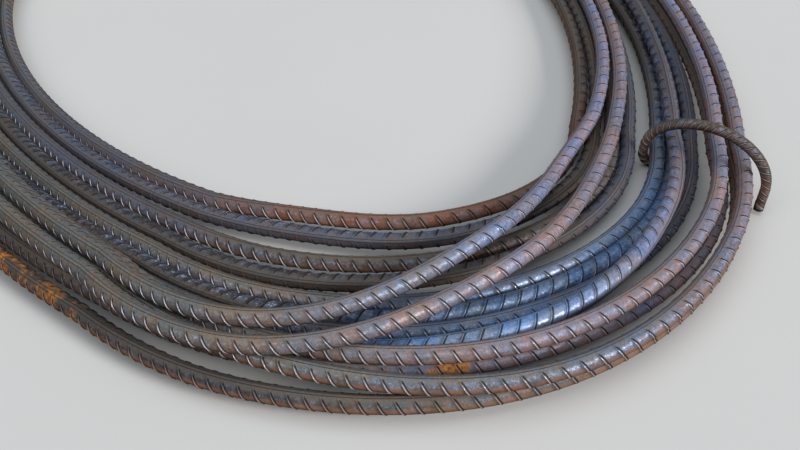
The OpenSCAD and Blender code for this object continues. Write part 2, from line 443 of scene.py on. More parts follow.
    def points(self, bar: int, u: np.ndarray) -> np.ndarray:
        """Middle line of a bar before it is centred.

        The route's point is moved outwards square to its heading by the lane, and up by the level.

        Args:
            bar: index of the bar.
            u: signed stretches from the crown, negative on the +Y side.

        Returns:
            One row of x, y, z for each u.
        """
        u = np.asarray(u, float)
        x, y, heading = self.route.half(np.abs(u))
        side = np.where(u < 0, 1.0, -1.0)
        off = self.lane(bar, u)
        return np.stack([x - off * np.cos(heading), side * (y + off * np.sin(heading)),
                         self.row_z + self.level(bar, u)], axis=-1)

    def coarse_steps(self) -> np.ndarray:
        """The places at which the solids bend."""
        half = np.concatenate([k + np.arange(1, n + 1) / n for k, n in enumerate(self.steps)])
        return np.concatenate([-half[::-1], [0.0], half])

    def leg_l(self, bar: int) -> float:
        """Length of each leg, what the cut length leaves beyond the fold."""
        bend = np.linalg.norm(np.diff(self.points(bar, self.coarse_steps()), axis=0), axis=1).sum()
        return (self.bar_cut_l - bend) / 2

    def centre(self) -> np.ndarray:
        """Middle of the box round the bars, which becomes the origin."""
        ends = []
        for bar in range(len(self.lanes)):
            line = self.points(bar, self.coarse_steps())
            leg = np.array([self.leg_l(bar), 0.0, 0.0])
            ends.append(np.vstack([line[0] + leg, line, line[-1] + leg]))
        every = np.vstack(ends)
        low, high = every.min(0), every.max(0)
        return np.array([(high[0] + low[0] - self.bar_ring_r) / 2, (high[1] + low[1]) / 2, 0.0])


# Paths and skins.

def keep(mesh: bpy.types.Mesh, **columns: np.ndarray) -> None:
    """Keep numbers or colours on the points of a mesh, in place of any under the same name.

    Args:
        mesh: the mesh.
        columns: under each name a number for each point, or a row of four for a colour.
    """
    for name, data in columns.items():
        kind, key = ("FLOAT", "value") if data.ndim == 1 else ("FLOAT_COLOR", "color")
        held = mesh.attributes.get(name) or mesh.attributes.new(name, kind, "POINT")
        held.data.foreach_set(key, data.astype(np.float32).ravel())


def added(name: str, data: bpy.types.ID) -> bpy.types.Object:
    """Make an object of a mesh, a light or a camera and put it into the scene.

    Args:
        name: name of the object.
        data: what it shows.

    Returns:
        The object.
    """
    made = bpy.data.objects.new(name, data)
    bpy.context.scene.collection.objects.link(made)
    return made


@dataclass
class Path:
    """A middle line given by many points, read by the length along it."""

    points: np.ndarray

    def __post_init__(self) -> None:
        """Measure the line and its directions."""
        step = np.diff(self.points, axis=0)
        self.run = np.concatenate([[0.0], np.cumsum(np.linalg.norm(step, axis=1))])
        ahead = np.gradient(self.points, self.run, axis=0)
        self.ahead = ahead / np.linalg.norm(ahead, axis=1, keepdims=True)

    @property
    def length(self) -> float:
        """Length of the whole line."""
        return float(self.run[-1])

    def read(self, table: np.ndarray, s: np.ndarray) -> np.ndarray:
        """Read a table of three columns at any length along the line.

        Args:
            table: one row for each point of the line.
            s: lengths along it.

        Returns:
            An array of the shape of s with three columns added.
        """
        return np.stack([np.interp(s, self.run, table[:, k]) for k in range(3)], axis=-1)


@dataclass(frozen=True)
class RibForm:
    """Section of a ribbed bar: round core, two ribs along it and slanting ribs across it.

    The slanting ribs start at one long rib and end at the other, tallest half way between, and lean
    the same way on both halves, so that they meet in arrow points.
    """

    core_r: float = 5.95 * MM
    cross_h: float = 0.62 * MM
    long_h: float = 0.45 * MM
    long_reach: float = np.radians(10)
    rib_step: float = 12.0 * MM
    slant: float = 0.6
    skew: float = 1.25
    end_share: float = 0.2
    near_around: tuple = (0, 10, 45, 67, 90, 112, 135, 170, 180, -170, -135, -112, -90, -67, -45, -10)
    near_steps: tuple = (0.0, 0.045, 0.085, 0.14, 0.3, 0.8)
    near_heights: tuple = (0.0, 1.0, 1.0, 0.0, 0.0, 0.0)
    far_steps: tuple = (0.07, 0.5)
    far_heights: tuple = (0.8, 0.0)

    def far_around(self) -> tuple:
        """Every second place round the bar, which is all that the far rings have."""
        return self.near_around[::2]

    def radius(self, turn: np.ndarray, rib: np.ndarray) -> np.ndarray:
        """Distance of the skin from the middle line.

        Core, plus a peak at each long rib, plus the slanting rib times a sine bow that a power skews
        away from the first long rib.

        Args:
            turn: angle from the first long rib in radians.
            rib: 0 to 1, how far up a slanting rib the place is.

        Returns:
            Radius in metres.
        """
        long_rib = np.clip(1 - np.abs(np.sin(turn)) / np.sin(self.long_reach), 0, 1)
        cross = np.clip(np.sin(np.pi * (np.abs(turn) / np.pi) ** self.skew), 0, 1) * (1 - long_rib)
        return self.core_r + self.long_h * long_rib + self.cross_h * cross * rib

    def shift(self, turn: np.ndarray) -> np.ndarray:
        """How far a slanting rib has moved along the bar at an angle from the first long rib."""
        return self.slant * self.core_r * np.abs(turn)


def tube_quads(rings: int, around: int, start: int) -> np.ndarray:
    """Faces between rings that follow each other.

    Args:
        rings: number of rings.
        around: points in each.
        start: index of the first point.

    Returns:
        Rows of four indices, facing outwards.
    """
    ring, spot = np.meshgrid(np.arange(rings - 1), np.arange(around), indexing="ij")
    here = start + ring * around + spot
    beside = start + ring * around + (spot + 1) % around
    return np.stack([here, here + around, beside + around, beside], axis=-1).reshape(-1, 4)


def joint_triangles(far_start: int, near_start: int, far_around: int, far_first: bool) -> np.ndarray:
    """Faces between a far ring and a near ring with twice its points.

    Args:
        far_start: index of the far ring's first point.
        near_start: index of the near ring's first point.
        far_around: points in the far ring.
        far_first: whether the far ring comes first along the bar.

    Returns:
        Rows of three indices, facing outwards.
    """
    k = np.arange(far_around)
    c0, c1 = far_start + k, far_start + (k + 1) % far_around
    f0, f1 = near_start + 2 * k, near_start + 2 * k + 1
    f2 = near_start + (2 * k + 2) % (2 * far_around)
    made = np.concatenate([np.stack(corners, -1) for corners in ((c0, f0, f1), (c0, f1, c1), (c1, f1, f2))])
    return made if far_first else made[:, ::-1]


@dataclass
class RibbedSkin:
    """The closed skin of a ribbed bar along a path, with what its finish reads on its points."""

    path: Path
    form: RibForm
    near: tuple
    roll: np.ndarray
    rib_step: np.ndarray
    steady: np.ndarray = field(default_factory=lambda: np.array([0.0, 0.0, 1.0]))

    def __post_init__(self) -> None:
        """Count the ribs along the path: each short length adds its share of a rib step."""
        share = np.diff(self.path.run) * 2 / (self.rib_step[1:] + self.rib_step[:-1])
        self.ribs = np.concatenate([[0.0], np.cumsum(share)])

    def _rings(self, low: int, high: int, steps: tuple, heights: tuple, around: tuple) -> tuple:
        """Rings of one kind.

        Args:
            low: number of the first rib.
            high: number after the last one.
            steps: places of the rings in one rib step, as a share of it.
            heights: how far up the rib each of them is.
            around: angles from the first long rib in degrees.

        Returns:
            Rib steps along the bar, rib height and angle, each of shape rings by around.
        """
        flat = (np.arange(low, high)[:, None] + np.array(steps)).ravel()
        rib = np.tile(np.array(heights), high - low)
        turn = np.radians(np.array(around, float))
        shape = (len(flat), len(turn))
        return (np.broadcast_to(flat[:, None], shape), np.broadcast_to(rib[:, None], shape),
                np.broadcast_to(turn, shape))

    def surface(self, s: np.ndarray, rib: np.ndarray,
                turn: np.ndarray) -> tuple[np.ndarray, np.ndarray, np.ndarray]:
        """Points of the skin.

        Middle line at s, plus the radius times the direction that is the roll and the angle away
        from the steady direction, square to the line.

        Args:
            s: length along the bar.
            rib: 0 to 1 up a slanting rib.
            turn: angle from the first long rib.

        Returns:
            Points of the shape of s with three columns, and how far up and how far towards the
            inside of the fold each of them faces, -1 to 1.
        """
        middle = self.path.read(self.path.points, s)
        ahead = self.path.read(self.path.ahead, s)
        ahead /= np.linalg.norm(ahead, axis=-1, keepdims=True)
        side = np.cross(self.steady, ahead)
        side /= np.linalg.norm(side, axis=-1, keepdims=True)
        up = np.cross(ahead, side)
        angle = turn + np.interp(s, self.path.run, self.roll)
        r = self.form.radius(turn, rib)
        out = np.sin(angle)[..., None] * side + np.cos(angle)[..., None] * up
        return middle + r[..., None] * out, out[..., 2], np.sin(angle)

    def _bands(self) -> list[tuple[np.ndarray, np.ndarray, np.ndarray, bool]]:
        """Plan the rings: plain end, far ribs, near ribs, far ribs, plain end.

        Returns:
            For each band what _rings gives, and whether it is a plain end.
        """
        form, run = self.form, self.path.run
        slack = form.shift(np.array(np.pi)) + form.rib_step * form.end_share
        last = int(np.interp(self.path.length - slack, run, self.ribs))
        low, high = (int(v) for v in np.interp(self.near, run, self.ribs))
        low, high = max(1, low), min(last - 1, high)
        far = (form.far_steps, form.far_heights, form.far_around())
        near = (form.near_steps, form.near_heights, form.near_around)
        ribbed = [(*self._rings(*ends, *kind), False)
                  for ends, kind in (((0, low), far), ((low, high), near), ((high, last), far))]
        turn = np.radians(np.array(form.far_around(), float))[None]
        none = np.zeros_like(turn)
        return [(none, none, turn, True), *ribbed, (none + self.ribs[-1], none, turn, True)]

    def build(self, name: str) -> tuple[bpy.types.Object, np.ndarray]:
        """Make the mesh.

        Args:
            name: name of the piece.

        Returns:
            The object, and the length along the bar of each of its points.
        """
        kept = {"lay": [], "turn": [], "upward": [], "inward": []}
        spots, runs, quads, tris = [], [], [], []
        start, before = 0, 0
        for flat, rib, turn, plain in self._bands():
            s = np.interp(flat, self.ribs, self.path.run) + (0.0 if plain else self.form.shift(turn))
            skin, upward, inward = self.surface(s, rib, turn)
            spots.append(skin.reshape(-1, 3))
            runs.append(s.ravel())
            for column, data in zip(kept.values(), (flat, np.abs(turn) / np.pi, upward, inward)):
                column.append(data.ravel())
            rings, around = flat.shape
            quads.append(tube_quads(rings, around, start))
            if before == around:
                quads.append(tube_quads(2, around, start - around))
            elif 0 < before < around:
                tris.append(joint_triangles(start - before, start, before, True))
            elif before > around:
                tris.append(joint_triangles(start, start - before, around, False))
            before = around
            start += rings * around
        caps = [list(range(around)), list(range(start - 1, start - 1 - around, -1))]
        faces = [row for part in quads + tris for row in part.tolist()] + caps
        mesh = bpy.data.meshes.new(name)
        mesh.from_pydata(np.concatenate(spots), [], faces)
        mesh.shade_smooth()
        keep(mesh, **{label: np.concatenate(column) for label, column in kept.items()})
        return added(name, mesh), np.concatenate(runs)


# Finishes.

@dataclass(frozen=True)
class MillSkin:
    """Skin of hot-rolled ribbed steel: tinted scale and rust, with painted highlights on the rib tops,
    between the ribs and in glints, a painted warm reflection on the lower edge, and painted shade in the lee
    of each rib, beside the long ribs and underneath.

    Noise is given by its scale, detail and roughness. A mark is given by its middle, edge and core,
    and a step by where it starts and is full: in rib steps for a mark on a rib, in half turns for one
    that runs along the bar, and else by how far up, or how far inwards, the skin faces.
    """

    name: str
    seed: float
    gloss: float = 0.5
    metal: float = 0.15
    # Strength of the painted glints.
    glints: float = 0.35
    # Strength of the painted highlight patches between the ribs.
    sheen_patch: float = 0.35
    warm: tuple = (1.15, 1.0, 0.86, 1.0)
    cool: tuple = (0.86, 1.0, 1.14, 1.0)
    warm_scale: tuple = (1.2, 0.96, 0.82, 1.0)
    cool_scale: tuple = (0.8, 1.05, 1.18, 1.0)
    dim: tuple = (0.78, 0.78, 0.8, 1.0)
    bright: tuple = (1.18, 1.17, 1.15, 1.0)
    streak: tuple = (0.4, 0.36, 0.36, 1.0)
    rust: tuple = srgb(212, 144, 66)
    rust_dark: tuple = srgb(128, 76, 42)
    # Painted warm light reflected onto the lower edge.
    tan: tuple = srgb(190, 136, 100)
    # Painted shade colour: the lee of each rib, beside the long ribs and on the underside.
    painted_shade: tuple = srgb(22, 18, 18)
    # Painted highlight colour on the rib tops.
    crest_highlight: tuple = srgb(224, 218, 226)
    # Painted highlight colour, for the patches between the ribs and the glints.
    sheen: tuple = srgb(188, 202, 236)
    dust: tuple = srgb(132, 122, 112)
    clouds: tuple = (30.0, 4.0, 0.55)
    patches: tuple = (75.0, 5.0, 0.6)
    hues: tuple = (170.0, 3.0, 0.6)
    grains: tuple = (420.0, 3.0, 0.7)
    specks: tuple = (950.0, 2.0, 0.6)
    half_of_noise: tuple = (0.38, 0.62)
    half_of_grain: tuple = (0.36, 0.62)
    # Painted shadow in the lee of each slanting rib and at its foot.
    lee: tuple = (0.165, 0.075, 0.036)
    foot: tuple = (0.0, 0.035, 0.012)
    crest: tuple = (0.07, 0.05, 0.02)
    crest_rim: tuple = (0.07, 0.085, 0.035)
    between: tuple = (0.58, 0.42, 0.2)
    face: tuple = (0.48, 0.34, 0.08)
    # Painted shade: fine dark lines beside the two long ribs.
    long_rib_shadows: tuple = ((0.06, 0.016, 0.006), (0.94, 0.016, 0.006))
    reach: tuple = ((0.12, 0.22), (0.98, 0.9))
    # How far round the bar the painted rib-top highlight reaches.
    highlight_reach: tuple = ((0.2, 0.3), (0.96, 0.88))
    # Where the painted rib-top highlight lies: facing sideways, below the top and above the floor-facing
    # side.
    below_top: tuple = (0.84, 0.5)
    above_floor: tuple = (-0.75, -0.2)
    # Painted shade where the skin faces down.
    underside: tuple = (-0.1, -0.8)
    # Where the painted warm reflection on the lower edge lies.
    lower_edge: tuple = (0.55, 0.05)
    # The painted rib-top highlight stays off the inside of the fold.
    outside: tuple = (0.4, 0.1)
    bump_strength: float = 0.8
    bump_depth: float = 0.7 * MM

    def dress(self, *pieces: bpy.types.Object) -> None:
        """Build the material and give it to pieces.

        Args:
            pieces: the pieces.
        """
        material = self.build()
        for piece in pieces:
            piece.data.materials.clear()
            piece.data.materials.append(material)

    def _ribs(self, g: Graph, lay: Value, turn: Value, upward: Value) -> tuple[Value, Value, Value]:
        """Where the ribs carry painted shadow and where they carry painted highlight.

        The part of one rib step left above the whole steps says where on a rib a place is. The lee of each
        slanting rib is a fine line of painted shadow. Where the bar faces sideways, but not on the inside of
        the fold, the rib's top beside it gets a painted highlight, some ribs more than others.

        Args:
            g: the graph.
            lay: rib steps along the bar, slant taken out.
            turn: angle from the first long rib as a share of half a turn.
            upward: how far up a place faces, -1 to 1.

        Returns:
            Painted shadow, painted highlight, and the fine lines of painted shade beside the long ribs.
        """
        step = lay.fraction()
        uneven = g.noise(g.vector(lay * 0.9, turn * 2.5, self.seed), 1.0, 2.0).ramp(0.25, 0.5)
        reach, highlight_reach = (turn.ramp(*start) * turn.ramp(*end) for start, end in (self.reach, self.highlight_reach))
        # Painted shadow: a fine dark line in the lee of each slanting rib, fainter at its foot.
        shade = step.near(*self.lee) * reach
        under = step.near(*self.foot) * reach * 0.5
        # Painted highlight on the rib tops, where the bar faces sideways and outwards of the fold.
        sides = upward.ramp(*self.below_top) * (upward.ramp(*self.above_floor) * 0.8 + 0.2)
        crest_highlight = highlight_reach * sides * g.number("inward").ramp(*self.outside) * g.number("wear")
        crest = step.near(*self.crest) * 0.65 + step.near(*self.crest_rim) * 0.35
        shine = crest * crest_highlight * (uneven * 0.6 + 0.4)
        # Painted shade: fine dark lines beside the two long ribs.
        first, second = (turn.near(*long_rib_shade) for long_rib_shade in self.long_rib_shadows)
        return shade.larger(under), shine, first.larger(second)

    def build(self) -> bpy.types.Material:
        """Build the material.

        The tint of the points is pushed warm and cool in clouds and again in finer hues, dimmed and
        brightened in mill grain, streaked along the bar, and dusted beside the long rib. A painted highlight
        lies in patches between the ribs and in glints, most where the points gleam. Over this lie a painted
        warm reflection on the lower edge, rust, painted shade on the underside, painted shadow in the lee of
        each rib and beside the long ribs, and a painted highlight on the rib tops.

        Returns:
            The material.
        """
        material = bpy.data.materials.new(self.name)
        g = Graph(material)
        lay, turn, upward, gleam = (g.number(name) for name in ("lay", "turn", "upward", "gleam"))
        place = g.add("ShaderNodeMapping", {}, {"Vector": g.place(), "Location": (self.seed, self.seed, 0.0)})
        clouds, patch, hue, grain, speck = (g.noise(place.outputs[0], *kind) for kind in (
            self.clouds, self.patches, self.hues, self.grains, self.specks))
        along = g.noise(g.vector(lay * 0.3, turn * 8.0, self.seed), 1.0, 4.0, 0.65)
        shade, shine, long_rib_shade = self._ribs(g, lay, turn, upward)

        band = turn.ramp(0.3, 0.18)
        # Painted highlight in patches between the ribs on the middle of the face.
        hollow = turn.near(*self.face) * lay.fraction().near(*self.between)
        sheen_patch = hollow * (patch * 0.7 + grain * 0.3).ramp(0.4, 0.62)
        # Painted glints of light, fewer on the band beside the long rib.
        glints = (grain * 0.6 + speck * 0.4).ramp(0.52, 0.64) * (1.0 - band * 0.7)
        # Painted warm reflected light on the lower edge, by each piece's tan share.
        low = upward.ramp(*self.lower_edge) * g.number("tan") * (patch + 0.4).ramp(0.6, 1.0)
        rusty = (patch * 0.8 + g.number("rust") * 0.7 - 0.72).ramp(0.0, 0.14)
        # Painted shade: darker where the skin faces down.
        underside_shade = upward.ramp(*self.underside) * (1.0 - low * 0.7)
        crest_highlight = shine * (1.0 - rusty * 0.6)

        colour = g.times(g.colour("tint"), g.mix(clouds.ramp(*self.half_of_noise), self.warm, self.cool))
        hued = g.mix((hue * 0.75 + grain * 0.25).ramp(*self.half_of_noise), self.warm_scale, self.cool_scale)
        colour = g.mix(0.7, colour, g.times(colour, hued))
        mill = (grain * 0.5 + speck * 0.5).ramp(*self.half_of_grain)
        colour = g.times(colour, g.mix(mill, self.dim, self.bright))
        colour = g.mix(along.ramp(0.42, 0.78) * 0.6, colour, g.times(colour, self.streak))
        colour = g.mix(band * 0.6, colour, g.mix(0.5, colour, self.dust))
        # Painted highlight: the patches between the ribs take the sheen colour, more where the points gleam.
        lit = g.mix(gleam * 0.4 + 0.45, colour, self.sheen)
        colour = g.mix(sheen_patch * (gleam * 0.5 + self.sheen_patch), colour, lit)
        # Painted glints, painted warm reflection on the lower edge, rust, painted shade underneath, painted
        # shadow in the lee of each rib and beside the long ribs, and painted highlight on the rib tops.
        for share, over in (
                (glints * (gleam * 0.5 + self.glints) * (sheen_patch * 0.7 + 0.3), self.sheen),
                (low * 0.85, self.tan),
                (rusty * 0.92, g.mix(grain.ramp(*self.half_of_grain), self.rust_dark, self.rust)),
                (underside_shade * 0.8, self.painted_shade),
                (shade.larger(long_rib_shade * 0.75) * 0.92, self.painted_shade),
                (crest_highlight * 0.9, self.crest_highlight)):
            colour = g.mix(share, colour, over)

        rough = (self.gloss + clouds * 0.1 + rusty * 0.3 + band * 0.12 - glints * 0.16 - sheen_patch * 0.06
                 - crest_highlight * 0.22 - gleam * 0.1 + shade * 0.3)
        relief = (grain * 0.45 + speck * 0.3 + clouds * 0.3 + patch * 0.35 * rusty
                  - long_rib_shade * 0.8 - shade * 0.5 + crest_highlight * 0.4)
        bump = g.add("ShaderNodeBump", {}, {
            "Height": relief, "Strength": self.bump_strength, "Distance": self.bump_depth})
        shader = g.add("ShaderNodeBsdfPrincipled", {}, {
            "Base Color": colour, "Roughness": rough, "Normal": bump.outputs[0],
            "Metallic": self.metal * (1.0 - rusty * 0.9 - shade * 0.6)})
        g.add("ShaderNodeOutputMaterial", {}, {"Surface": shader.outputs[0]})
        return material


@dataclass(frozen=True)
class PaleFloor:
    """Plain pale floor: it shows pale, and sends back only a little warm light."""

    shown: tuple = srgb(226, 224, 220)
    clouded: tuple = srgb(214, 212, 208)
    sent: tuple = srgb(92, 80, 70)
    roughness: float = 0.9

    def build(self) -> bpy.types.Material:
        """Build the material.

        Returns:
            The material: the shown colour for camera rays, the other one for the rest.
        """
        material = bpy.data.materials.new("pale_floor")
        g = Graph(material)
        ray = g.add("ShaderNodeLightPath", {}, {})
        shown = g.mix(g.noise(g.place(), 3.0).ramp(0.2, 0.8) * 0.25, self.shown, self.clouded)
        shader = g.add("ShaderNodeBsdfPrincipled", {}, {
            "Base Color": g.mix(ray.outputs["Is Camera Ray"], self.sent, shown), "Roughness": self.roughness})
        g.add("ShaderNodeOutputMaterial", {}, {"Surface": shader.outputs[0]})
        return material


# Bars, offcuts and the bundle.

@dataclass(frozen=True)
class BarCharacter:
    """What makes one bar its own: how it is rolled about itself, and the colours along it.

    Each spot of rust, or of gleam, which is a painted highlight, is given by its place, its reach and its
    strength.
    """

    slot: int
    roll: tuple
    tints: str
    near: tuple = (-1.45, 1.68)
    rust: tuple = ()
    # Share of painted warm reflected light on the lower edge.
    tan: float = 0.15
    # Strength of the painted rib-top highlight at each roll station.
    wear: tuple = (1.0, 1.0, 1.0, 1.0, 1.0)
    # Spots of painted highlight.
    gleam: tuple = ()


# Per bar: slot, roll, tints, reach of the fine rings, rust spots, share of painted warm reflection on the
# lower edge, strength of the painted rib-top highlight at each roll station, and spots of painted highlight.
CHARACTERS = (
    BarCharacter(4, (-20, 5, 15, 20, 40), "EARTH SLATE RUSSET RUSSET RUSSET UMBER EARTH", (-2.05, 1.72),
                 ((-0.5, 0.5, 0.14), (0.3, 0.3, 0.17)), 0.6, (0.8, 0.9, 0.3, 0.1, 0.1)),
    BarCharacter(2, (-50, -55, -55, -30, 0), "EARTH SLATE SLATE SLATE UMBER UMBER EARTH", (-2.05, 1.68),
                 wear=(0.0, 0.0, 0.0, 0.0, 0.2)),
    BarCharacter(1, (0, 15, 15, 20, 30), "EARTH SLATE UMBER UMBER UMBER UMBER EARTH", (-2.05, 1.7),
                 tan=0.5, wear=(1.0, 1.0, 0.6, 0.4, 0.4)),
    BarCharacter(1, (-60, -55, -55, -20, 0), "EARTH COAL COAL UMBER SLATE SLATE EARTH", (-2.05, 1.68),
                 ((0.9, 0.1, 0.3),), wear=(0.1, 0.1, 0.2, 0.3, 0.3)),
    # This bar's COAL tint at 1.25 is painted shade, where it lies in shadow past the hook.
    BarCharacter(3, (-10, 5, 10, 30, 50), "EARTH EARTH BROWN STEEL SKY COAL EARTH", (-2.05, 1.68),
                 tan=0.0, gleam=((0.25, 0.2, 0.5),)),
    BarCharacter(3, (-55, -65, -150, -120, -60), "EARTH COAL COAL STEEL STEEL SLATE EARTH",
                 tan=0.0, wear=(0.1, 0.1, 0.4, 0.5, 0.4)),
    BarCharacter(3, (-60, -150, -150, -60, 0), "EARTH COAL STEEL SKY LILAC SLATE EARTH",
                 tan=0.0, wear=(0.5, 0.4, 0.25, 0.4, 0.5), gleam=((0.2, 0.25, 0.7),)),
    BarCharacter(2, (0, 0, 0, 10, 30), "UMBER UMBER BROWN LILAC MAUVE UMBER EARTH",
                 rust=((-0.17, 0.075, 0.74), (0.12, 0.1, 0.4)), tan=0.4, wear=(0.4, 0.4, 0.7, 0.6, 0.6)),
    BarCharacter(3, (20, 10, 10, 0, 0), "UMBER UMBER SLATE STEEL SLATE SLATE EARTH"),
    BarCharacter(4, (-20, 0, 10, 20, 40), "UMBER COAL COAL BROWN BROWN UMBER EARTH",
                 rust=((-1.1, 0.22, 0.54), (-0.5, 0.15, 0.1)), tan=0.8, wear=(0.2, 0.2, 0.4, 0.4, 0.4)),
    BarCharacter(2, (-25, 5, 25, 40, 60), "EARTH EARTH BROWN HAZE LILAC LILAC EARTH",
                 rust=((0.72, 0.05, 0.4),), gleam=((0.04, 0.12, 1.0), (0.6, 0.2, 0.3))),
    BarCharacter(2, (-25, 5, 25, 40, 60), "EARTH EARTH BROWN ROSE MAUVE MAUVE EARTH",
                 gleam=((0.1, 0.2, 0.25),)),
    BarCharacter(1, (-25, 0, 15, 35, 55), "EARTH EARTH BROWN MAUVE MAUVE LILAC EARTH",
                 rust=((0.1, 0.1, 0.3),), tan=0.45),
    BarCharacter(3, (-25, 0, 10, 35, 55), "EARTH EARTH EARTH FROST MAUVE MAUVE EARTH",
                 rust=((-0.5, 0.2, 0.2),), tan=1.0),
)
# Signed stretches from the crown at which a bar's tints, its roll and the strength of its painted rib-top
# highlight, and its rib step are given.
TINT_AT = (-2.2, -1.25, -0.6, 0.0, 0.6, 1.25, 2.2)
ROLL_AT = (-1.1, -0.7, 0.0, 0.6, 1.1)
STEP_AT = (-2.4, -1.4, -0.9, -0.45, 0.0, 0.6, 1.0, 1.7, 2.6)
STEP_MM = (12.0, 8.8, 8.9, 10.0, 12.3, 13.4, 15.3, 15.3, 12.0)


@dataclass
class RibbedBar:
    """One bar from cut end to cut end."""

    number: int
    lay: Lay
    character: BarCharacter
    form: RibForm = field(default_factory=RibForm)
    fine_steps: int = 3200
    fold_end: float = 4.0
    cut_end: float = 12.0
    twist_from: float = 2.0
    twist: float = 0.35

    @property
    def name(self) -> str:
        """Name of the piece."""
        return f"ribbed_bar_{self.number:02d}"

    def build(self, centre: np.ndarray) -> bpy.types.Object:
        """Make the bar.

        The middle line runs along one leg, round the fold and back along the other leg. The bar
        turns slowly about itself on the way.

        Args:
            centre: middle of the bundle, which becomes the origin.

        Returns:
            The piece.
        """
        u = np.linspace(-self.fold_end, self.fold_end, self.fine_steps + 1)
        bend = self.lay.points(self.number - 1, u) - centre
        leg = np.array([self.lay.leg_l(self.number - 1), 0.0, 0.0])
        ease = np.array([self.form.rib_step, 0.0, 0.0])
        line = np.vstack([bend[0] + leg, bend[0] + ease, bend, bend[-1] + ease, bend[-1] + leg])
        place = np.concatenate([[-self.cut_end, -self.fold_end], u, [self.fold_end, self.cut_end]])
        path = Path(line)
        beyond = np.sign(place) * np.clip(np.abs(place) - self.twist_from, 0.0, None) * self.twist
        roll = np.radians(np.interp(place, ROLL_AT, self.character.roll)) + beyond
        near = tuple(np.interp(self.character.near, place, path.run).tolist())
        skin = RibbedSkin(path, self.form, near, roll, np.interp(place, STEP_AT, STEP_MM) * MM)
        piece, run = skin.build(self.name)
        self.colour(piece, np.interp(run, path.run, place))
        return piece

    def colour(self, piece: bpy.types.Object, place: np.ndarray) -> None:
        """Keep on the points what the finish reads.

        The tint, and how strong the painted highlight on the rib tops is, go from station to station. Rust,
        and gleam, a painted highlight, swell round each of their spots as a bell curve.

        Args:
            piece: the bar.
            place: signed stretch from the crown of each of its points.
        """
        own = self.character
        stops = np.array([tint.value for tint in Tint.row(own.tints)])
        tint = np.stack([np.interp(place, TINT_AT, column) for column in stops.T], -1)
        rust, gleam = np.zeros_like(place), np.zeros_like(place)
        for level, spots in ((rust, own.rust), (gleam, own.gleam)):
            for spot, reach, strength in spots:
                np.maximum(level, strength * np.exp(-((place - spot) / reach) ** 2), out=level)
        keep(piece.data, tint=tint, rust=rust, gleam=gleam, tan=np.full(len(place), own.tan),
             wear=np.interp(place, ROLL_AT, own.wear))


def rounded(corners: np.ndarray, r: float, arc_steps: int = 10) -> np.ndarray:
    """Corners with an arc laid into each.

    At each corner the arc of the bend radius touches both straights; it starts the tangent
    length before the corner and turns through the corner's angle.

    Args:
        corners: points across the bars, two columns.
        r: radius of every arc.
        arc_steps: pieces of each arc.

    Returns:
        Points across the bars, two columns.
    """
    made = [corners[:1]]
    for before, corner, after in zip(corners[:-2], corners[1:-1], corners[2:]):
        a = (corner - before) / np.linalg.norm(corner - before)
        b = (after - corner) / np.linalg.norm(after - corner)
        turn = np.arccos(np.clip(a @ b, -1, 1))
        hand = 1.0 if a[0] * b[1] - a[1] * b[0] > 0 else -1.0
        square = hand * r * np.array([-a[1], a[0]])
        middle = corner - a * r * np.tan(turn / 2) + square
        g = hand * turn * np.linspace(0, 1, arc_steps + 1)
        made.append(middle - np.stack([square[0] * np.cos(g) - square[1] * np.sin(g),
                                       square[0] * np.sin(g) + square[1] * np.cos(g)], -1))
    return np.vstack([*made, corners[-1:]])


@dataclass
class BentOffcut:
    """A short ribbed offcut bent round the bars to hold them."""

    number: int
    lay: Lay
    base: np.ndarray
    forward: np.ndarray
    sideways: np.ndarray
    flat: np.ndarray
    slip: float
    tint: Tint = Tint.UMBER
    roll: float = np.radians(60)
    core_share: float = 0.94
    cross_h: float = 0.42 * MM
    long_h: float = 0.34 * MM
    rib_step: float = 5.6 * MM
    rust: tuple = (0.1, 0.15, 9.0)
    # Share of painted warm reflected light on the lower edge.
    tan: float = 0.35
    # Strength of the painted rib-top highlight.
    wear: float = 0.7
    # Painted highlight over the whole offcut.
    gleam: float = 0.1

    @property
    def name(self) -> str:
        """Name of the piece."""
        return f"bent_offcut_{self.number:02d}"

    def build(self, centre: np.ndarray) -> bpy.types.Object:
        """Make the offcut.

        A ribbed skin goes along its bent line, which slips along the bars as it goes round them.
        The rust is a mean plus a swing times the sine of so many radians from end to end.

        Args:
            centre: middle of the bundle, which becomes the origin.

        Returns:
            The piece.
        """
        share = np.linspace(-0.5, 0.5, len(self.flat))[:, None]
        line = (self.base + self.flat[:, :1] * self.sideways + self.flat[:, 1:] * np.array([0.0, 0.0, 1.0])
                + self.forward * self.slip * share - centre)
        path = Path(line)
        form = RibForm(core_r=self.lay.tie_d / 2 * self.core_share, cross_h=self.cross_h,
                       long_h=self.long_h, rib_step=self.rib_step)
        even = np.ones(len(line))
        skin = RibbedSkin(path, form, (0.0, path.length), even * self.roll, even * self.rib_step,
                          self.forward)
        piece, run = skin.build(self.name)
        mean, swing, waves = self.rust
        every = np.ones(len(run))
        keep(piece.data, tint=np.outer(every, self.tint.value), tan=every * self.tan,
             rust=mean + swing * np.sin(run / path.length * waves), wear=every * self.wear,
             gleam=every * self.gleam, inward=every * 0.0)
        return piece


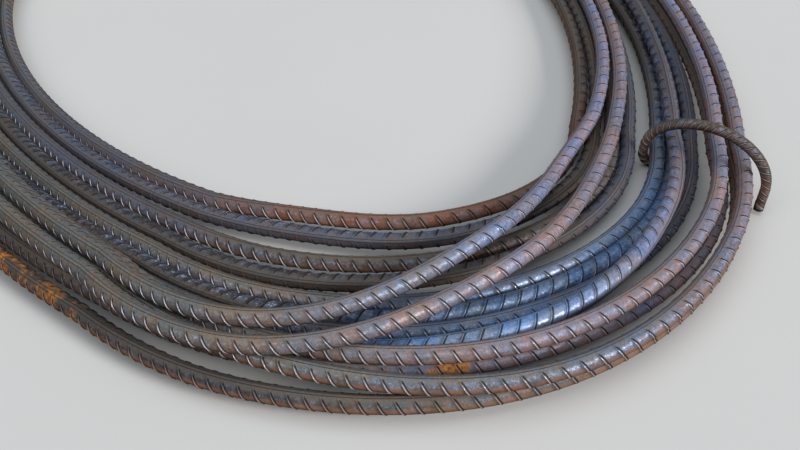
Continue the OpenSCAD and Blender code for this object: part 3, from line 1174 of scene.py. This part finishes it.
@dataclass
class Bundle:
    """All bars and the offcuts that hold them."""

    lay: Lay = field(default_factory=Lay)
    fold_tie_u: float = 0.88
    hook_lean: float = 26 * MM
    hook_slack: float = 8 * MM
    hook_share: float = 0.45
    hook_rise: float = 36 * MM
    tie_bend_r: float = 6 * MM
    tie_pass: float = 10.5 * MM
    tie_tail_l: float = 26 * MM
    first_tie_l: float = 230 * MM
    tie_step: float = 1600 * MM
    tie_count: int = 3

    def __post_init__(self) -> None:
        """Work out where the bundle's middle is."""
        self.centre = self.lay.centre()

    @property
    def tie_off(self) -> float:
        """How far the middle of an offcut stands off the middle of a bar it touches."""
        return self.lay.bar_ring_r + self.lay.tie_gap + self.lay.tie_ring_r

    def bars(self) -> list[bpy.types.Object]:
        """Make every bar, in place of its fold and its legs.

        Returns:
            The pieces.
        """
        made = []
        for number, character in enumerate(CHARACTERS, 1):
            piece = RibbedBar(number, self.lay, character).build(self.centre)
            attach(piece, "root")
            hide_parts(f"bar_{number:02d}_fold", f"bar_{number:02d}_legs")
            LOG.info("%s: %d faces", piece.name, len(piece.data.polygons))
            made.append(piece)
        return made

    @property
    def tie_corner_r(self) -> float:
        """Middle line of a bent corner."""
        return self.tie_bend_r + self.lay.tie_d / 2

    def hook(self, arch_steps: int = 48) -> BentOffcut:
        """The hook over the outer bars of the fold.

        Its loose end stands upright outside the bars. From it half an ellipse arches over them,
        then it goes down between two bars and turns in under the outer ones.

        Args:
            arch_steps: pieces of the arch.

        Returns:
            The offcut, not yet built.
        """
        lay, spot = self.lay, np.array([self.fold_tie_u])
        x, y, heading = (float(v[0]) for v in lay.route.half(spot))
        fourth, fifth, under, edge, top = (float(lay.lane(bar, spot)[0]) for bar in (3, 4, 6, 9, 13))
        inner = fourth + (fifth - fourth) * self.hook_share
        outer = max(edge, top) + self.tie_off + self.hook_slack
        spring = lay.row_z + lay.pitch / 2
        a = np.pi * np.arange(arch_steps) / arch_steps
        across = inner + (outer - inner) / 2 * (1 + np.cos(a))
        arch = np.stack([across, spring + self.hook_rise * np.sin(a)], -1)
        foot = np.array([[inner, spring], [inner, lay.tie_mid_z], [under, lay.tie_mid_z]])
        flat = np.vstack([[[outer, lay.tie_mid_z]], arch, rounded(foot, self.tie_corner_r)])
        return BentOffcut(1, lay, np.array([x, -y, 0.0]), np.array([np.sin(heading), -np.cos(heading), 0.0]),
                          np.array([-np.cos(heading), -np.sin(heading), 0.0]), flat, self.hook_lean)

    def leg_tie(self, number: int, x: float) -> BentOffcut:
        """A band round both legs.

        Args:
            number: number of the offcut.
            x: its distance from the fold.

        Returns:
            The offcut, not yet built.
        """
        lay, far = self.lay, np.array([-4.0, 4.0])
        half = lay.pitch / 2
        lane_a, lane_d = lay.lane(10, far), lay.lane(13, far)
        level_a, level_d = lay.level(10, far), lay.level(13, far)
        outer = float(lane_d[1]) + half + self.tie_off
        high, low = (float(lay.row_z + v + self.tie_off) for v in level_a)
        edge = lay.row_z + float(level_d[1]) + half
        floor = lay.tie_mid_z
        corners = np.array([
            [outer / 2, floor], [outer, floor], [outer, edge], [outer - lay.pitch, low],
            [-(half + float(lane_a[0]) - lay.pitch), high], [lay.pitch - outer, high], [-outer, edge],
            [-outer, floor], [outer / 2 + self.tie_tail_l, floor]])
        return BentOffcut(number, lay, np.array([x, 0.0, 0.0]), np.array([1.0, 0.0, 0.0]),
                          np.array([0.0, -1.0, 0.0]), rounded(corners, self.tie_corner_r), self.tie_pass)

    def ties(self) -> list[bpy.types.Object]:
        """Make every offcut.

        Returns:
            The pieces.
        """
        first = self.lay.route.leg_x + self.first_tie_l
        plans = [self.hook(), *(self.leg_tie(k + 2, first + k * self.tie_step)
                                for k in range(self.tie_count))]
        made = []
        for plan in plans:
            piece = plan.build(self.centre)
            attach(piece, "root")
            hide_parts(f"tie_{plan.number:02d}")
            LOG.info("%s: %d faces", piece.name, len(piece.data.polygons))
            made.append(piece)
        return made

    def dress(self, bars: list[bpy.types.Object], ties: list[bpy.types.Object]) -> None:
        """Give each piece its finish by the slot it belongs to.

        Args:
            bars: the bars.
            ties: the offcuts.
        """
        finishes = {
            1: MillSkin("bar_steel_1", 1.7, gloss=0.46),
            2: MillSkin("bar_steel_2", 4.1, gloss=0.42, metal=0.25, glints=0.5),
            3: MillSkin("bar_steel_3", 7.9, gloss=0.38, metal=0.3, glints=0.9, sheen_patch=0.55),
            4: MillSkin("bar_steel_4", 11.3, gloss=0.54, glints=0.25)}
        for slot, finish in finishes.items():
            finish.dress(*[p for p, c in zip(bars, CHARACTERS) if c.slot == slot])
        MillSkin("tie_steel", 15.2, gloss=0.48).dress(*ties)


@dataclass(frozen=True)
class Lamp:
    """One soft lamp far away, its width in degrees."""

    name: str
    towards: tuple
    strength: float
    width: float
    colour: tuple

    def add(self) -> None:
        """Put the lamp into the scene, shining from its direction."""
        data = bpy.data.lights.new(self.name, "SUN")
        data.energy, data.angle, data.color = self.strength, np.radians(self.width), self.colour
        added(self.name, data).rotation_euler = Vector(self.towards).to_track_quat("Z", "Y").to_euler()


@dataclass
class Studio:
    """Pale floor, plain soft light, and the camera where the photograph was taken."""

    centre: np.ndarray
    eye: tuple = (-0.43694, 0.21145, 0.41505)
    heading: float = np.radians(22.34)
    down: float = np.radians(39.9)
    tilt: float = np.radians(1.39)
    focal_px: float = 870.64
    clip: tuple = (0.01, 200.0)
    floor_half: float = 30.0
    sky: tuple = (0.80, 0.88, 1.0, 1.0)
    sky_strength: float = 0.22
    backdrop: tuple = (0.80, 0.79, 0.77, 1.0)
    lamps: tuple = (
        Lamp("key", (-0.66, -0.5, 0.42), 2.1, 20.0, (1.0, 0.98, 0.97)),
        Lamp("overhead", (-0.1, 0.1, 1.0), 1.0, 70.0, (0.86, 0.93, 1.0)),
        Lamp("fill", (-0.25, 0.6, 0.6), 0.4, 40.0, (1.0, 0.97, 0.94)))

    def camera(self) -> None:
        """Aim the camera: forward from heading and dip, then turned about its own axis."""
        ahead = Vector((np.cos(self.down) * np.cos(self.heading), -np.cos(self.down) * np.sin(self.heading),
                        -np.sin(self.down)))
        right = Vector((-np.sin(self.heading), -np.cos(self.heading), 0.0))
        up = right.cross(ahead)
        turned = right * np.cos(self.tilt) + up * np.sin(self.tilt)
        top = up * np.cos(self.tilt) - right * np.sin(self.tilt)
        data = bpy.data.cameras.new("camera")
        data.sensor_width = SENSOR_MM
        data.lens = self.focal_px * SENSOR_MM / PHOTO_WIDTH_PX
        data.clip_start, data.clip_end = self.clip
        camera = added("camera", data)
        turn = Matrix((turned, top, -ahead)).transposed().to_4x4()
        camera.matrix_world = Matrix.Translation(Vector(self.eye) - Vector(self.centre.tolist())) @ turn
        bpy.context.scene.camera = camera

    def floor(self) -> None:
        """Lay the floor under the bundle."""
        h = self.floor_half
        mesh = bpy.data.meshes.new("floor")
        mesh.from_pydata([(-h, -h, 0), (h, -h, 0), (h, h, 0), (-h, h, 0)], [], [(0, 1, 2, 3)])
        mesh.materials.append(PaleFloor().build())
        added("floor", mesh)

    def light(self) -> None:
        """Set the sky, which the camera sees as a plain backdrop, and the lamps."""
        world = bpy.data.worlds.new("sky")
        bpy.context.scene.world = world
        g = Graph(world)
        lit, shown = (g.add("ShaderNodeBackground", {}, {"Color": colour, "Strength": strength}).outputs[0]
                      for colour, strength in ((self.sky, self.sky_strength), (self.backdrop, 1.0)))
        ray = g.add("ShaderNodeLightPath", {}, {}).outputs["Is Camera Ray"]
        mixed = g.add("ShaderNodeMixShader", {}, {0: ray, 1: lit, 2: shown}).outputs[0]
        g.add("ShaderNodeOutputWorld", {}, {"Surface": mixed})
        for lamp in self.lamps:
            lamp.add()


def main() -> None:
    logging.basicConfig(level=logging.INFO, format="%(name)s %(message)s")
    bundle = Bundle()
    studio = Studio(bundle.centre)
    studio.camera()
    bundle.dress(bundle.bars(), bundle.ties())
    studio.floor()
    studio.light()
    bpy.context.scene.view_settings.view_transform = "Standard"


if __name__ == "__main__":
    main()
